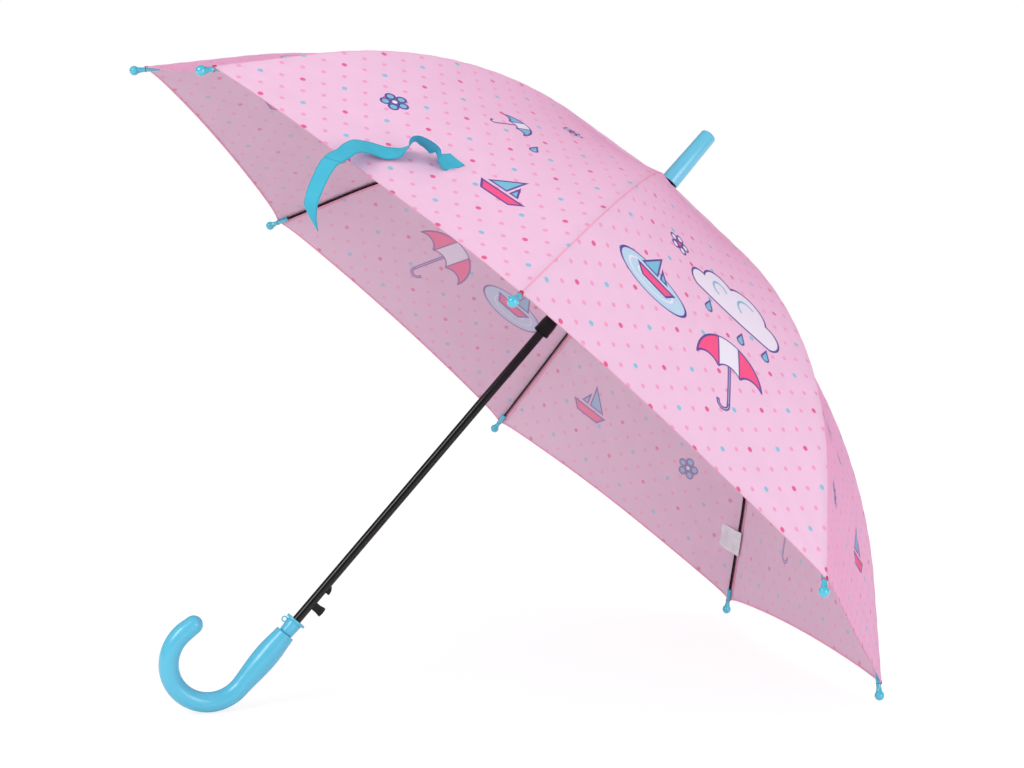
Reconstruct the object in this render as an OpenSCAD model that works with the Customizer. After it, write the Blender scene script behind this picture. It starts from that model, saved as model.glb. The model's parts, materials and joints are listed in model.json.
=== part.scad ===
// Child's stick umbrella with a push-button release, opened and resting on the floor.
// Every piece is drawn about the shaft: z runs along the shaft towards the ferrule,
// z = 0 is the top of the canopy, and x points to the side of the release button.
// standing() then leans the umbrella onto its handle and the tips of two ribs.

/* [Ribs] */
// Straight inner part of each rib, from its pivot
rib_inner = 123; // [110:1:135]
// Angle of the inner part below level when the canopy is open
rib_slope = 11.8; // [9:0.1:14]
// Radius of the curved middle part
rib_bend_r = 431; // [400:1:460]
// Angle that the curved part turns through
rib_bend = 35; // [32:0.5:37]
// Straight outer part of each rib
rib_outer = 83.7; // [70:0.1:95]
// Width of the channel section
rib_w = 3; // [2.6:0.1:3.4]
// Depth of the channel section
rib_h = 2.4; // [2:0.1:2.6]
// Sheet thickness of the channel section
rib_wall = 0.5; // [0.4:0.05:0.6]
// Distance along the rib from its pivot to the stretcher joint
joint_at = 207; // [195:1:212]
// Diameter of the round pin at the outer end of a rib
rib_pin_d = 1.7; // [1.5:0.1:1.9]
// Length of that pin
rib_pin_len = 10; // [8:0.5:13]

/* [Rib tips] */
// Diameter of the ball
ball_d = 8.3; // [7.5:0.1:9]
// Distance from the hem to the middle of the ball
tip_reach = 14; // [12:0.5:17]
// Diameter of the neck between the hem and the ball
neck_d = 3; // [2.6:0.1:3.4]
// Diameter of the sleeve on the rib's pin, inside the canopy
sleeve_d = 3.8; // [3.4:0.1:3.8]
// Length of that sleeve
sleeve_len = 9.5; // [7:0.5:10]

/* [Canopy] */
// Thickness of the cloth with its coating
cloth_t = 0.4; // [0.3:0.05:0.6]
// Distance from the middle of a rib to the outside of the cloth
cloth_rise = 2.6; // [2.6:0.1:3.2]
// Inward curve of each hem at the middle of its gore
hem_sag = 9; // [5:0.5:14]
// Gap left for the stitches where two gores meet
seam_gap = 0.3; // [0.3:0.05:0.5]

/* [Crown and runner] */
// Distance from the shaft's middle to the rib and stretcher pivots
pivot_r = 7; // [6.6:0.1:7.5]
// Distance of the rib pivots below the top of the canopy
pivot_drop = 6.6; // [6.4:0.1:7.2]
// Diameter of the wire rings that the ribs and stretchers turn on
wire_d = 1; // [0.8:0.1:1.1]
// Radial play of an eye on its wire or rivet
eye_play = 0.1; // [0.08:0.01:0.12]
// Thickness of the flat tab at the end of a rib or stretcher
tab_t = 1.2; // [1:0.1:1.3]
// Length of that tab
tab_len = 8; // [7.5:0.5:10]
// Width of the slots that the tabs swing in
slot_w = 1.8; // [1.7:0.1:2]
// Diameter of the slotted crown and of the runner's slotted head
head_d = 18.8; // [18:0.2:20]
// Height of the slotted crown and of the runner's slotted head
head_h = 6.4; // [6:0.2:7]
// Diameter of the runner's tube
runner_d = 12.6; // [12:0.1:13.2]
// Diameter of the flare at the runner's lower end
flare_d = 13.8; // [13.3:0.1:14.6]
// Length of the flare
flare_len = 9.5; // [8:0.5:10]
// Distance from the top of the canopy to the runner's lower end
runner_end = 171.5; // [170.5:0.1:171.8]

/* [Stretchers] */
// Diameter of the rivets that join the stretchers to the ribs
rivet_d = 1.2; // [1:0.1:1.2]
// Length of the fork that straddles the rib
fork_len = 7; // [7:0.5:9]
// Thickness of each cheek of the fork
fork_t = 0.6; // [0.5:0.05:0.7]
// Gap between the fork and the sides of the rib
fork_gap = 0.3; // [0.3:0.05:0.4]

/* [Shaft and opening spring] */
// Outside diameter of the shaft tube
shaft_d = 8; // [7.8:0.1:8.2]
// Wall of the shaft tube
shaft_wall = 0.6; // [0.5:0.05:0.65]
// Length of shaft inside the ferrule
shaft_top = 34; // [25:1:42]
// Length of shaft inside the handle
shaft_foot = 44; // [30:1:50]
// Radial gap where a piece is pushed onto the shaft
seat_gap = 0.05; // [0.03:0.01:0.08]
// Radial gap where the runner slides on the shaft
slide_gap = 0.1; // [0.06:0.01:0.1]
// Outside diameter of the opening spring
spring_d = 10.5; // [10.3:0.1:11]
// Diameter of its wire
spring_wire = 0.8; // [0.6:0.1:0.9]
// Number of turns
spring_turns = 18; // [14:1:20]

/* [Ferrule] */
// Length of the ferrule above the canopy
ferrule_len = 54.5; // [48:0.5:60]
// Diameter at the canopy
ferrule_d = 16.6; // [15.6:0.1:17.6]
// Diameter at the end
ferrule_end_d = 14.2; // [13:0.1:15.2]
// Height of the domed end
ferrule_dome = 2.4; // [1.6:0.1:3]
// Depth of the ferrule's foot below the crown
ferrule_foot = 2.2; // [1.6:0.1:2.3]
// Diameter of the washer under the ferrule
washer_d = 15; // [13:0.2:15.6]
// Depth of the washer's underside below the crown
washer_low = 2.8; // [2.7:0.1:2.9]

/* [Handle] */
// Distance from the top of the canopy to the flange of the handle collar
handle_at = 498.7; // [496:0.1:506]
// Diameter of the flange
flange_d = 18.3; // [17:0.1:20]
// Thickness of the flange
flange_t = 1.5; // [1.2:0.1:2]
// Diameter of the collar below the flange
collar_d = 13.6; // [13:0.1:14.2]
// Length of the collar with its flange
collar_len = 14.6; // [13:0.1:17]
// Largest diameter of the grip
grip_d = 21.6; // [20:0.1:23]
// Length of the straight grip
grip_len = 58.5; // [52:0.5:68]
// Diameter of the crook
crook_d = 17; // [16:0.1:18]
// Radius of the crook's middle line
crook_r = 34.5; // [31:0.5:38]
// Angle that the crook turns through
crook_turn = 192; // [175:1:205]
// Straight length at the end of the crook
crook_end = 16.5; // [12:0.5:28]
// Radius of the hole in the lanyard eye
eye_hole_r = 1.7; // [1.5:0.1:1.9]
// Width of the rim round that hole
eye_rim = 0.9; // [0.7:0.1:1.2]

/* [Release] */
// Distance from the top of the canopy to the middle of the button
button_at = 480.2; // [479:0.1:482]
// Length of the button's stem along the shaft
button_len = 7.2; // [6.4:0.1:7.6]
// Width of the button across the shaft
button_w = 4.4; // [4:0.1:4.6]
// Reach of the button from the shaft's middle
button_out = 13.3; // [12.6:0.1:14]
// Distance from the top of the canopy to the tip of the catch hook
hook_at = 465.6; // [465.4:0.1:465.8]
// Length of the hook along the shaft
hook_len = 7.7; // [6.5:0.1:8]
// Reach of the hook from the shaft's middle
hook_out = 7.2; // [7:0.1:7.3]
// Thickness of the hook
hook_w = 2.4; // [2:0.1:2.6]

/* [Closing strap] */
// Width of the strap
strap_w = 16; // [12:0.5:20]
// Thickness of the strap
strap_t = 0.8; // [0.6:0.1:1.2]
// Length of the strap along its path
strap_len = 176; // [140:2:200]

/* [Hidden] */
$fn = 48;

ribs = 8;
gore_angle = 360 / ribs;
half_gore = gore_angle / 2;
deg = 180 / PI;

// Rib line: a straight, an arc and a straight, as points [distance from the shaft's middle, z].
bend_len = rib_bend_r * rib_bend / deg;
bend_end = rib_inner + bend_len;
rib_len = bend_end + rib_outer;
function rib_angle(s) =
    s <= rib_inner ? rib_slope :
    s <= bend_end ? rib_slope + (s - rib_inner) / rib_bend_r * deg : rib_slope + rib_bend;
function ahead(p, length, angle) = p + length * [cos(angle), -sin(angle)];
function above(p, rise, angle) = p + rise * [sin(angle), cos(angle)];
rib_root = [pivot_r, -pivot_drop];
bend_root = ahead(rib_root, rib_inner, rib_slope);
function rib_arc(angle) =
    above(above(bend_root, -rib_bend_r, rib_slope), rib_bend_r, angle);
function rib_point(s) =
    s <= rib_inner ? ahead(rib_root, s, rib_slope) :
    s <= bend_end ? rib_arc(rib_angle(s)) :
    ahead(rib_arc(rib_slope + rib_bend), s - bend_end, rib_slope + rib_bend);
function cloth_point(s) = above(rib_point(s), cloth_rise, rib_angle(s));

// The stretcher is as long as the rib from pivot to joint, so the runner stays on the shaft.
stay_top = rib_point(joint_at);
stay_foot = [pivot_r, 2 * stay_top[1] - rib_root[1]];
stay_len = norm(stay_foot - stay_top);
stay_slope = asin((stay_top[1] - stay_foot[1]) / stay_len);
fold = 60;
travel = 2 * stay_len * (sin(stay_slope + fold) - sin(stay_slope));

// Lean of the umbrella, from its three points of contact with the floor.
ball_centre = ahead(rib_point(rib_len), tip_reach, rib_angle(rib_len));
crook_at = handle_at + collar_len + grip_len;
lean_a = crook_at + ball_centre[1];
lean_b = crook_r + ball_centre[0] * cos(half_gore);
lean_c = ball_d / 2 - crook_r - crook_d / 2;
rise = atan2(lean_b, lean_a) + asin(lean_c / norm([lean_a, lean_b]));
lift = crook_at * sin(rise) - crook_r * cos(rise) + crook_r + crook_d / 2;
far_angle = min(atan(cos(half_gore) * tan(rise)), rib_slope + rib_bend);
far_cloth = above(rib_arc(far_angle), cloth_rise, far_angle);
function forward(p) = p[1] * cos(rise) + p[0] * cos(half_gore) * sin(rise);
far_x = max(forward(ball_centre) + ball_d / 2, forward(far_cloth));
near_x = -crook_at * cos(rise) - crook_r * sin(rise) - crook_r - crook_d / 2;

pipe_r = shaft_d / 2;
bore_r = pipe_r + seat_gap;
eye_r = wire_d / 2 + eye_play;
tab_r = rib_h * 0.6;
crimp = 3;
bend_steps = 14;
head_r = head_d / 2;
slot_in = pivot_r - tab_r - 0.3;
crown_foot = -pivot_drop - head_h * 0.56;
runner_top = stay_foot[1] + head_h / 2;
head_foot = stay_foot[1] - head_h * 0.62;
spring_gap = 0.3;

jet = [0.06, 0.06, 0.07];
steel = [0.7, 0.7, 0.72];
aqua = [0.36, 0.75, 0.88];
pink = [0.93, 0.75, 0.87];

module standing() {
    translate([-(far_x + near_x) / 2, 0, lift]) rotate([0, 90 - rise, 0]) children();
}

// Turns a piece drawn in the xz plane to the place of rib number k.
module around(k) {
    rotate([0, 0, -half_gore - gore_angle * (k - 1)]) children();
}

// Puts x along the rib and z out through the cloth, at distance s along the rib.
module at_rib(s) {
    p = rib_point(s);
    translate([p[0], 0, p[1]]) rotate([0, rib_angle(s), 0]) children();
}

// Puts x along the stretcher from its joint with the rib towards the runner.
module at_stay() {
    translate([stay_top[0], 0, stay_top[1]]) rotate([0, 180 - stay_slope, 0]) children();
}

// Extrudes a section drawn with x across and y outward, for a length along x.
module run(length) {
    rotate([90, 0, 90]) linear_extrude(length) children();
}

// A round pin or hole across the rib.
module across(radius, length) {
    rotate([90, 0, 0]) cylinder(r = radius, h = length, center = true);
}

module channel() {
    difference() {
        square([rib_w, rib_h], center = true);
        translate([0, -rib_wall]) square([rib_w - 2 * rib_wall, rib_h], center = true);
    }
}

// Flat tab at the end of a rib or stretcher, with its eye at the origin.
module flat_end() {
    tab_h = rib_h - 0.2;
    across(tab_r, tab_t);
    translate([0, -tab_t / 2, -tab_h / 2]) cube([tab_len + 1, tab_t, tab_h]);
}

// Distances along the rib from a to b at which a drawn line bends.
function stops(a, b) =
    concat([a, rib_inner], [for (i = [1 : bend_steps]) rib_inner + bend_len * i / bend_steps], [b]);

// Band along the rib from distance a to b, between two heights above its middle line.
module rib_band(a, b, low, high, width) {
    line = stops(a, b);
    rotate([90, 0, 0]) linear_extrude(width, center = true) polygon(concat(
        [for (s = line) above(rib_point(s), high, rib_angle(s))],
        [for (i = [len(line) - 1 : -1 : 0]) above(rib_point(line[i]), low, rib_angle(line[i]))]));
}

module rib(k) {
    channel_from = tab_len + crimp;
    channel_to = rib_len - rib_pin_len - crimp;
    color(jet) standing() around(k) difference() {
        union() {
            at_rib(0) flat_end();
            rib_band(tab_len, rib_len - rib_pin_len, -rib_h / 2, rib_h / 2, rib_w);
            at_rib(rib_len - rib_pin_len - 0.5) rotate([0, 90, 0])
                cylinder(d = rib_pin_d, h = rib_pin_len - 0.5);
        }
        rib_band(channel_from, channel_to, -rib_h, rib_h / 2 - rib_wall, rib_w - 2 * rib_wall);
        at_rib(0) across(eye_r, rib_w * 2);
        at_rib(joint_at) across(rivet_d / 2 + seat_gap / 2, rib_w * 2);
    }
}

module rib_tip(k) {
    sleeve_r = sleeve_d / 2;
    neck_r = neck_d / 2;
    ball_r = ball_d / 2;
    swell = asin(neck_r * 1.3 / ball_r);
    color(aqua) standing() around(k) at_rib(rib_len) rotate([0, 90, 0]) difference() {
        rotate_extrude() polygon(concat(
            [[0, -sleeve_len], [sleeve_r - 0.3, -sleeve_len], [sleeve_r, 0.3 - sleeve_len],
                [sleeve_r, -1.5], [neck_r, 0], [neck_r, tip_reach * 0.4]],
            [for (a = [180 - swell : -(180 - swell) / 16 : 0.01])
                [ball_r * sin(a), tip_reach + ball_r * cos(a)]],
            [[0, tip_reach + ball_r]]));
        translate([0, 0, -sleeve_len - 1])
            cylinder(d = rib_pin_d + 2 * seat_gap, h = sleeve_len + 0.6);
    }
}

module stretcher(k) {
    fork_in = rib_w / 2 + fork_gap;
    fork_out = fork_in + fork_t;
    color(jet) standing() around(k) difference() {
        at_stay() {
            for (side = [-1, 1]) translate([0, side * (fork_in + fork_t / 2), 0]) {
                across(rib_h * 0.58, fork_t);
                translate([0, -fork_t / 2, -rib_h / 2]) cube([fork_len + crimp, fork_t, rib_h]);
            }
            translate([fork_len, -fork_out, -rib_h / 2]) cube([crimp, 2 * fork_out, rib_h]);
            translate([fork_len + crimp, 0, 0])
                run(stay_len - fork_len - 2 * crimp - tab_len) channel();
            translate([stay_len - tab_len - crimp, 0, 0]) run(crimp)
                square([rib_w, rib_h], center = true);
            translate([stay_len, 0, 0]) rotate([0, 180, 0]) flat_end();
        }
        at_stay() across(rivet_d / 2 + eye_play / 2, rib_w * 3);
        at_stay() translate([stay_len, 0, 0]) across(eye_r, rib_w * 2);
    }
}

module rivet(k) {
    head_at = rib_w / 2 + fork_gap + fork_t + 0.15;
    color(steel) standing() around(k) at_rib(joint_at) {
        across(rivet_d / 2, 2 * head_at + 0.6);
        for (side = [-1, 1]) translate([0, side * (head_at + 0.3), 0]) across(rivet_d, 0.6);
    }
}

// One gore: the cloth lies straight across between two ribs, and its hem curves inward.
module gore(k) {
    across_scale = cos(half_gore);
    start = (washer_d / 2 - 2.7 - pivot_r) / cos(rib_slope);
    line = stops(start, rib_len);
    outer = [for (s = line) let (p = cloth_point(s)) [p[0] * across_scale, p[1]]];
    inner = [for (i = [len(line) - 1 : -1 : 0])
        let (a = rib_angle(line[i]), n = [sin(a), across_scale * cos(a)])
        outer[i] - cloth_t * n / norm(n)];
    corner = cloth_point(rib_len);
    half_hem = corner[0] * sin(half_gore);
    hem_r = (half_hem * half_hem + hem_sag * hem_sag) / (2 * hem_sag);
    hem_slope = atan2(sin(rib_angle(rib_len)), across_scale * cos(rib_angle(rib_len)));
    reach = corner[0] + 10;
    edge = seam_gap / 2 / cos(half_gore);
    color(pink) standing() rotate([0, 0, -gore_angle * k]) difference() {
        intersection() {
            rotate([90, 0, 0]) linear_extrude(2 * reach, center = true)
                polygon(concat(outer, inner));
            translate([0, 0, corner[1] - 10]) linear_extrude(-corner[1] + 20)
                polygon([[edge / tan(half_gore), 0], [reach, reach * tan(half_gore) - edge],
                    [reach, edge - reach * tan(half_gore)]]);
        }
        translate([corner[0] * across_scale, 0, corner[1]]) rotate([0, hem_slope, 0])
            translate([hem_r - hem_sag, 0, -20]) cylinder(r = hem_r, h = 40, $fn = 360);
    }
}

module shaft() {
    slot_h = button_len + 0.5;
    color(jet) standing() difference() {
        translate([0, 0, -handle_at - shaft_foot])
            cylinder(d = shaft_d, h = handle_at + shaft_foot + shaft_top);
        translate([0, 0, -handle_at - shaft_foot - 1])
            cylinder(d = shaft_d - 2 * shaft_wall, h = handle_at + shaft_foot + shaft_top + 2);
        translate([1, -button_w / 2 - 0.2, -button_at - slot_h / 2])
            cube([pipe_r, button_w + 0.4, slot_h]);
        translate([1, -hook_w / 2 - 0.2, -hook_at - 0.6])
            cube([pipe_r, hook_w + 0.4, hook_len + 1.2]);
    }
}

// Slots round a head, and the round channel for its wire ring, both centred on height at.
module head_cuts(at) {
    for (k = [1 : ribs]) around(k) translate([slot_in, -slot_w / 2, at - head_h])
        cube([head_r, slot_w, 2 * head_h]);
    translate([0, 0, at]) ring(wire_d + 2 * seat_gap);
}

module ring(thickness) {
    rotate_extrude($fn = 72) translate([pivot_r, 0]) circle(d = thickness, $fn = 24);
}

module crown_notch() {
    drop = cloth_t + 0.35;
    function under_cloth(r) =
        cloth_point((r / cos(half_gore) - pivot_r) / cos(rib_slope))[1] - drop;
    color(jet) standing() difference() {
        rotate_extrude() polygon([[bore_r, crown_foot], [head_r, crown_foot],
            [head_r, under_cloth(head_r)], [bore_r + 0.6, under_cloth(bore_r + 0.6)],
            [bore_r, under_cloth(bore_r + 0.6)]]);
        head_cuts(-pivot_drop);
    }
}

module crown_wire() {
    color(steel) standing() translate([0, 0, -pivot_drop]) ring(wire_d);
}

module runner_wire() {
    color(steel) standing() translate([0, 0, stay_foot[1]]) ring(wire_d);
}

module runner() {
    tube_r = runner_d / 2;
    flare_r = flare_d / 2;
    inner_r = pipe_r + slide_gap;
    window_foot = -hook_at + travel - 0.5;
    color(jet) standing() difference() {
        rotate_extrude() polygon([[inner_r, runner_top], [head_r, runner_top],
            [head_r, head_foot], [tube_r, head_foot - (head_r - tube_r)],
            [tube_r, flare_len - runner_end], [flare_r, flare_len * 0.55 - runner_end],
            [flare_r, 1 - runner_end], [flare_r - 0.6, -runner_end],
            [inner_r + 1.2, -runner_end], [inner_r + 1.2, 0.7 - runner_end],
            [inner_r, 0.7 - runner_end]]);
        head_cuts(stay_foot[1]);
        translate([1, -hook_w / 2 - 0.5, window_foot])
            cube([flare_r, hook_w + 1, hook_len + 1]);
    }
}

// Coil spring between the crown and the runner, swept along its helix.
module opening_spring() {
    sides = 6;
    steps = 14;
    wire_r = spring_wire / 2;
    coil_r = spring_d / 2 - wire_r;
    foot = runner_top + spring_gap + wire_r;
    pitch = (crown_foot - spring_gap - wire_r - foot) / spring_turns;
    count = spring_turns * steps;
    points = [for (i = [0 : count]) for (j = [0 : sides - 1])
        let (turn = 360 * i / steps, a = 360 * j / sides, r = coil_r + wire_r * cos(a))
        [r * cos(turn), r * sin(turn), foot + pitch * i / steps + wire_r * sin(a)]];
    walls = [for (i = [0 : count - 1]) for (j = [0 : sides - 1])
        let (m = (j + 1) % sides, base = i * sides)
        [base + j, base + m, base + sides + m, base + sides + j]];
    ends = [[for (j = [sides - 1 : -1 : 0]) j], [for (j = [0 : sides - 1]) count * sides + j]];
    color(steel) standing() polyhedron(points, concat(walls, ends), convexity = 10);
}

module top_washer() {
    color(jet) standing() translate([0, 0, -washer_low]) difference() {
        cylinder(d = washer_d, h = washer_low - ferrule_foot);
        translate([0, 0, -1]) cylinder(r = bore_r, h = washer_low + 2);
    }
}

module ferrule() {
    foot_r = ferrule_d / 2;
    end_r = ferrule_end_d / 2;
    dome_r = (end_r * end_r + ferrule_dome * ferrule_dome) / (2 * ferrule_dome);
    dome_turn = asin(end_r / dome_r);
    edge = 0.82;
    color(aqua) standing() difference() {
        rotate_extrude() polygon(concat(
            [[0, -ferrule_foot], [foot_r - 0.5, -ferrule_foot], [foot_r, 0.5 - ferrule_foot],
                [end_r, ferrule_len - ferrule_dome - 1]],
            [for (i = [0 : 6]) let (a = dome_turn * edge * (1 - i / 6))
                [dome_r * sin(a), ferrule_len - dome_r * (1 - cos(a))]]));
        translate([0, 0, -5]) cylinder(r = bore_r, h = shaft_top + 5.4);
    }
}

module handle_collar() {
    neck_r = collar_d / 2;
    color(aqua) standing() difference() {
        union() {
            rotate_extrude() polygon([[0, -handle_at], [flange_d / 2 - 0.4, -handle_at],
                [flange_d / 2, -handle_at - flange_t / 2],
                [flange_d / 2 - 0.4, -handle_at - flange_t], [neck_r + 0.3, -handle_at - flange_t],
                [neck_r, -handle_at - flange_t - 1], [neck_r - 0.5, -handle_at - collar_len + 1],
                [neck_r - 1.2, -handle_at - collar_len], [0, -handle_at - collar_len]]);
            lanyard_eye() cylinder(r = eye_hole_r + eye_rim, h = 1.2, center = true);
        }
        lanyard_eye() cylinder(r = eye_hole_r, h = 3, center = true);
        translate([0, 0, -handle_at - collar_len - 1]) cylinder(r = bore_r, h = collar_len + 2);
    }
}

module lanyard_eye() {
    translate([-collar_d / 2 - eye_hole_r - 0.4, 0, -handle_at - flange_t - eye_hole_r - 1.8])
        rotate([90, 0, 0]) children();
}

module handle() {
    top_r = collar_d / 2 + 0.3;
    steps = 14;
    swell = grip_d / 2;
    crook_tube = crook_d / 2;
    top = -handle_at - collar_len;
    widest = 0.42;
    function bulge(x) = pow(max(0, cos(x * 90)), 1.4);
    color(aqua) standing() difference() {
        union() {
            rotate_extrude() polygon(concat([[0, top], [top_r - 0.6, top]],
                [for (i = [0 : steps]) let (u = i / steps, low = u < widest ? top_r : crook_tube)
                    [low + (swell - low) * bulge((u - widest) / (u < widest ? widest : 1 - widest)),
                        top - 0.6 - (grip_len - 0.6) * u]],
                [[0, -crook_at]]));
            translate([-crook_r, 0, -crook_at]) {
                rotate([90, 0, 0]) rotate_extrude(start = 0, angle = -crook_turn, $fn = 96)
                    translate([crook_r, 0]) circle(r = crook_tube);
                rotate([0, crook_turn, 0]) translate([crook_r, 0, 0]) {
                    rotate([180, 0, 0]) cylinder(r1 = crook_tube, r2 = crook_tube * 0.94,
                        h = crook_end - crook_tube * 0.94);
                    translate([0, 0, crook_tube * 0.94 - crook_end]) sphere(r = crook_tube * 0.94);
                }
            }
        }
        translate([0, 0, -handle_at - shaft_foot - 1]) cylinder(r = bore_r, h = shaft_foot + 1);
    }
}

module release_button() {
    inner = 1.2;
    neck_at = pipe_r + (button_out - pipe_r) * 0.5;
    half = button_len / 2;
    flare = half + 0.7;
    bow = 0.7;
    bow_r = (flare * flare + bow * bow) / (2 * bow);
    color(jet) standing() translate([0, 0, -button_at]) {
        rotate([90, 0, 0]) linear_extrude(button_w, center = true) intersection() {
            polygon([[inner, -half], [neck_at, -half], [button_out - 1.2, -flare],
                [button_out + 1, -flare], [button_out + 1, flare], [button_out - 1.2, flare],
                [neck_at, half], [inner, half]]);
            translate([button_out - bow_r, 0]) circle(r = bow_r, $fn = 120);
        }
        translate([inner, -button_w / 2, -half - 1.2])
            cube([0.9, button_w, button_len + 2.4]);
    }
}

module catch_hook() {
    strip_in = 0.3;
    strip_t = 0.6;
    lobe = hook_out - pipe_r;
    lobe_len = hook_len * 0.88;
    lobe_r = (lobe * lobe + lobe_len * lobe_len) / (2 * lobe);
    color(jet) standing() {
        rotate([90, 0, 0]) linear_extrude(hook_w, center = true) intersection() {
            translate([strip_in + strip_t / 2, -hook_at]) square([hook_out, hook_len]);
            translate([hook_out - lobe_r, -hook_at + hook_len - lobe_len])
                circle(r = lobe_r, $fn = 120);
        }
        translate([strip_in, -1, -button_at - button_len])
            cube([strip_t, 2, button_at + button_len - hook_at + hook_len + 3]);
    }
}

// Bowed leaf inside the shaft that pushes the hook and the button out.
module latch_spring() {
    leaf_t = 0.3;
    bow = 2.7;
    top = -hook_at + hook_len + 6;
    foot = -button_at - button_len - 2;
    half = (top - foot) / 2;
    leaf_r = (half * half + bow * bow) / (2 * bow);
    color(steel) standing() translate([leaf_t - 3, 0, (top + foot) / 2]) rotate([90, 0, 0])
        linear_extrude(1.8, center = true) intersection() {
            translate([0, -half]) square([bow + leaf_t, 2 * half]);
            translate([bow - leaf_r, 0]) difference() {
                circle(r = leaf_r, $fn = 360);
                circle(r = leaf_r - leaf_t, $fn = 360);
            }
        }
}

// Stations of the strap: across its gore, along it from the hem's corner and out from it, then
// the way the strap's width points. It is sewn at the first, twists over an arch on the cloth,
// leaves the hem near the tenth and hangs down to a cut point.
strap_gore = 3;
strap_path = [
    [-17, -85, 0.2, 1, -0.1, 0],
    [-16, -71, 2, 0.8, -0.6, 0.2],
    [-13, -66, 5.5, 0.7, -0.7, -0.2],
    [-11, -65, 9, 0.3, -0.4, -0.9],
    [-2, -60, 12.5, 0.4, -0.4, -0.8],
    [4, -56, 11, 0.4, -0.4, -0.8],
    [6, -52.5, 5.5, 0.6, -0.7, -0.4],
    [9, -47, 2.2, 0.7, -0.7, -0.1],
    [15, -37, 1.4, 0.7, -0.7, 0],
    [20.5, -24, 3.4, 0.7, -0.7, -0.1],
    [21.5, -12.5, 4.8, 0.75, -0.6, -0.1],
    [20, 1, 4.5, 0.8, -0.5, -0.1],
    [18, 16, 4, 0.9, -0.35, -0.1],
    [13.5, 28, -2, 0.95, -0.2, -0.25],
    [9, 37, -9, 0.95, -0.2, -0.25],
    [6, 42, -16, 0.95, -0.2, -0.25],
    [2, 44.5, -24, 0.95, -0.2, -0.25],
    [-2, 44.5, -32, 0.95, -0.2, -0.25]];
strap_scale = strap_len / 176;
function turned(p, angle) =
    [p[0] * cos(angle) + p[1] * sin(angle), p[1] * cos(angle) - p[0] * sin(angle), p[2]];
// A direction given across, along and out from a gore at distance s.
function gore_way(s, way) =
    let (a = rib_angle(s), c = cos(half_gore), n = norm([c * cos(a), sin(a)]), m = norm([sin(a), c * cos(a)]))
    turned([(way[1] * c * cos(a)) / n + way[2] * sin(a) / m, -way[0],
        way[2] * c * cos(a) / m - way[1] * sin(a) / n], gore_angle * strap_gore);
function gore_place(p) =
    let (s = rib_len + min(p[1], 0) * strap_scale, c = cloth_point(s))
    turned([c[0] * cos(half_gore), 0, c[1]], gore_angle * strap_gore)
    + gore_way(s, strap_scale * [p[0], max(p[1], 0), p[2]]);

module closing_strap() {
    last = len(strap_path) - 1;
    middle = [for (p = strap_path) gore_place(p)];
    points = [for (i = [0 : last])
        let (p = strap_path[i], d = middle[min(i + 1, last)] - middle[max(i - 1, 0)],
            side = -gore_way(rib_len + min(p[1], 0) * strap_scale, [p[3], p[4], p[5]]),
            flat = side - d * (side * d) / (d * d), w = flat / norm(flat),
            n = cross(d, w) / norm(cross(d, w)))
        for (c = [[i == last ? 0.7 : -1, 0], [1, 0], [1, 1], [i == last ? 0.7 : -1, 1]])
            middle[i] + w * strap_w / 2 * c[0] + n * strap_t * c[1]];
    walls = [for (i = [0 : last - 1]) for (j = [0 : 3]) let (m = (j + 1) % 4, b = i * 4)
        for (tri = [[b + j, b + 4 + j, b + 4 + m], [b + j, b + 4 + m, b + m]]) tri];
    e = last * 4;
    ends = [[0, 1, 2], [0, 2, 3], [e + 2, e + 1, e], [e + 3, e + 2, e]];
    color(aqua) standing() polyhedron(points, concat(walls, ends), convexity = 4);
}

module care_label() {
    label_at = 392;
    label_len = 25;
    label_w = 19;
    color("white") standing() around(8) at_rib(label_at)
        translate([0, -1.6, -rib_h / 2 - 0.5]) rotate([-half_gore * sin(rib_angle(label_at)), 0, 0])
            cube([label_len, label_w, 0.3]);
}

shaft();
crown_notch();
crown_wire();
ferrule();
top_washer();
runner();
runner_wire();
opening_spring();
handle();
handle_collar();
release_button();
catch_hook();
latch_spring();
closing_strap();
care_label();
rib(1);  // rib_1
rib(2);  // rib_2
rib(3);  // rib_3
rib(4);  // rib_4
rib(5);  // rib_5
rib(6);  // rib_6
rib(7);  // rib_7
rib(8);  // rib_8
rib_tip(1);  // rib_tip_1
rib_tip(2);  // rib_tip_2
rib_tip(3);  // rib_tip_3
rib_tip(4);  // rib_tip_4
rib_tip(5);  // rib_tip_5
rib_tip(6);  // rib_tip_6
rib_tip(7);  // rib_tip_7
rib_tip(8);  // rib_tip_8
stretcher(1);  // stretcher_1
stretcher(2);  // stretcher_2
stretcher(3);  // stretcher_3
stretcher(4);  // stretcher_4
stretcher(5);  // stretcher_5
stretcher(6);  // stretcher_6
stretcher(7);  // stretcher_7
stretcher(8);  // stretcher_8
rivet(1);  // rivet_1
rivet(2);  // rivet_2
rivet(3);  // rivet_3
rivet(4);  // rivet_4
rivet(5);  // rivet_5
rivet(6);  // rivet_6
rivet(7);  // rivet_7
rivet(8);  // rivet_8
gore(1);  // gore_1
gore(2);  // gore_2
gore(3);  // gore_3
gore(4);  // gore_4
gore(5);  // gore_5
gore(6);  // gore_6
gore(7);  // gore_7
gore(8);  // gore_8
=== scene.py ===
# %% [markdown]
# # A child's umbrella, standing open
# Eight printed gores are sewn together over eight black steel ribs. A short stretcher joins each
# rib to a runner on the shaft, and a turquoise crook handle, a ferrule and eight ball tips finish
# the ends. The rigid model comes first, as a fixed frame: every piece below is made in its place,
# and all but the gores, hems, seam allowances, spring and tape ride on one of its bodies.

# %% The frame
import json
import math
from functools import partialmethod

import bpy
import numpy as np
from mathutils import Matrix, Vector


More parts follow.
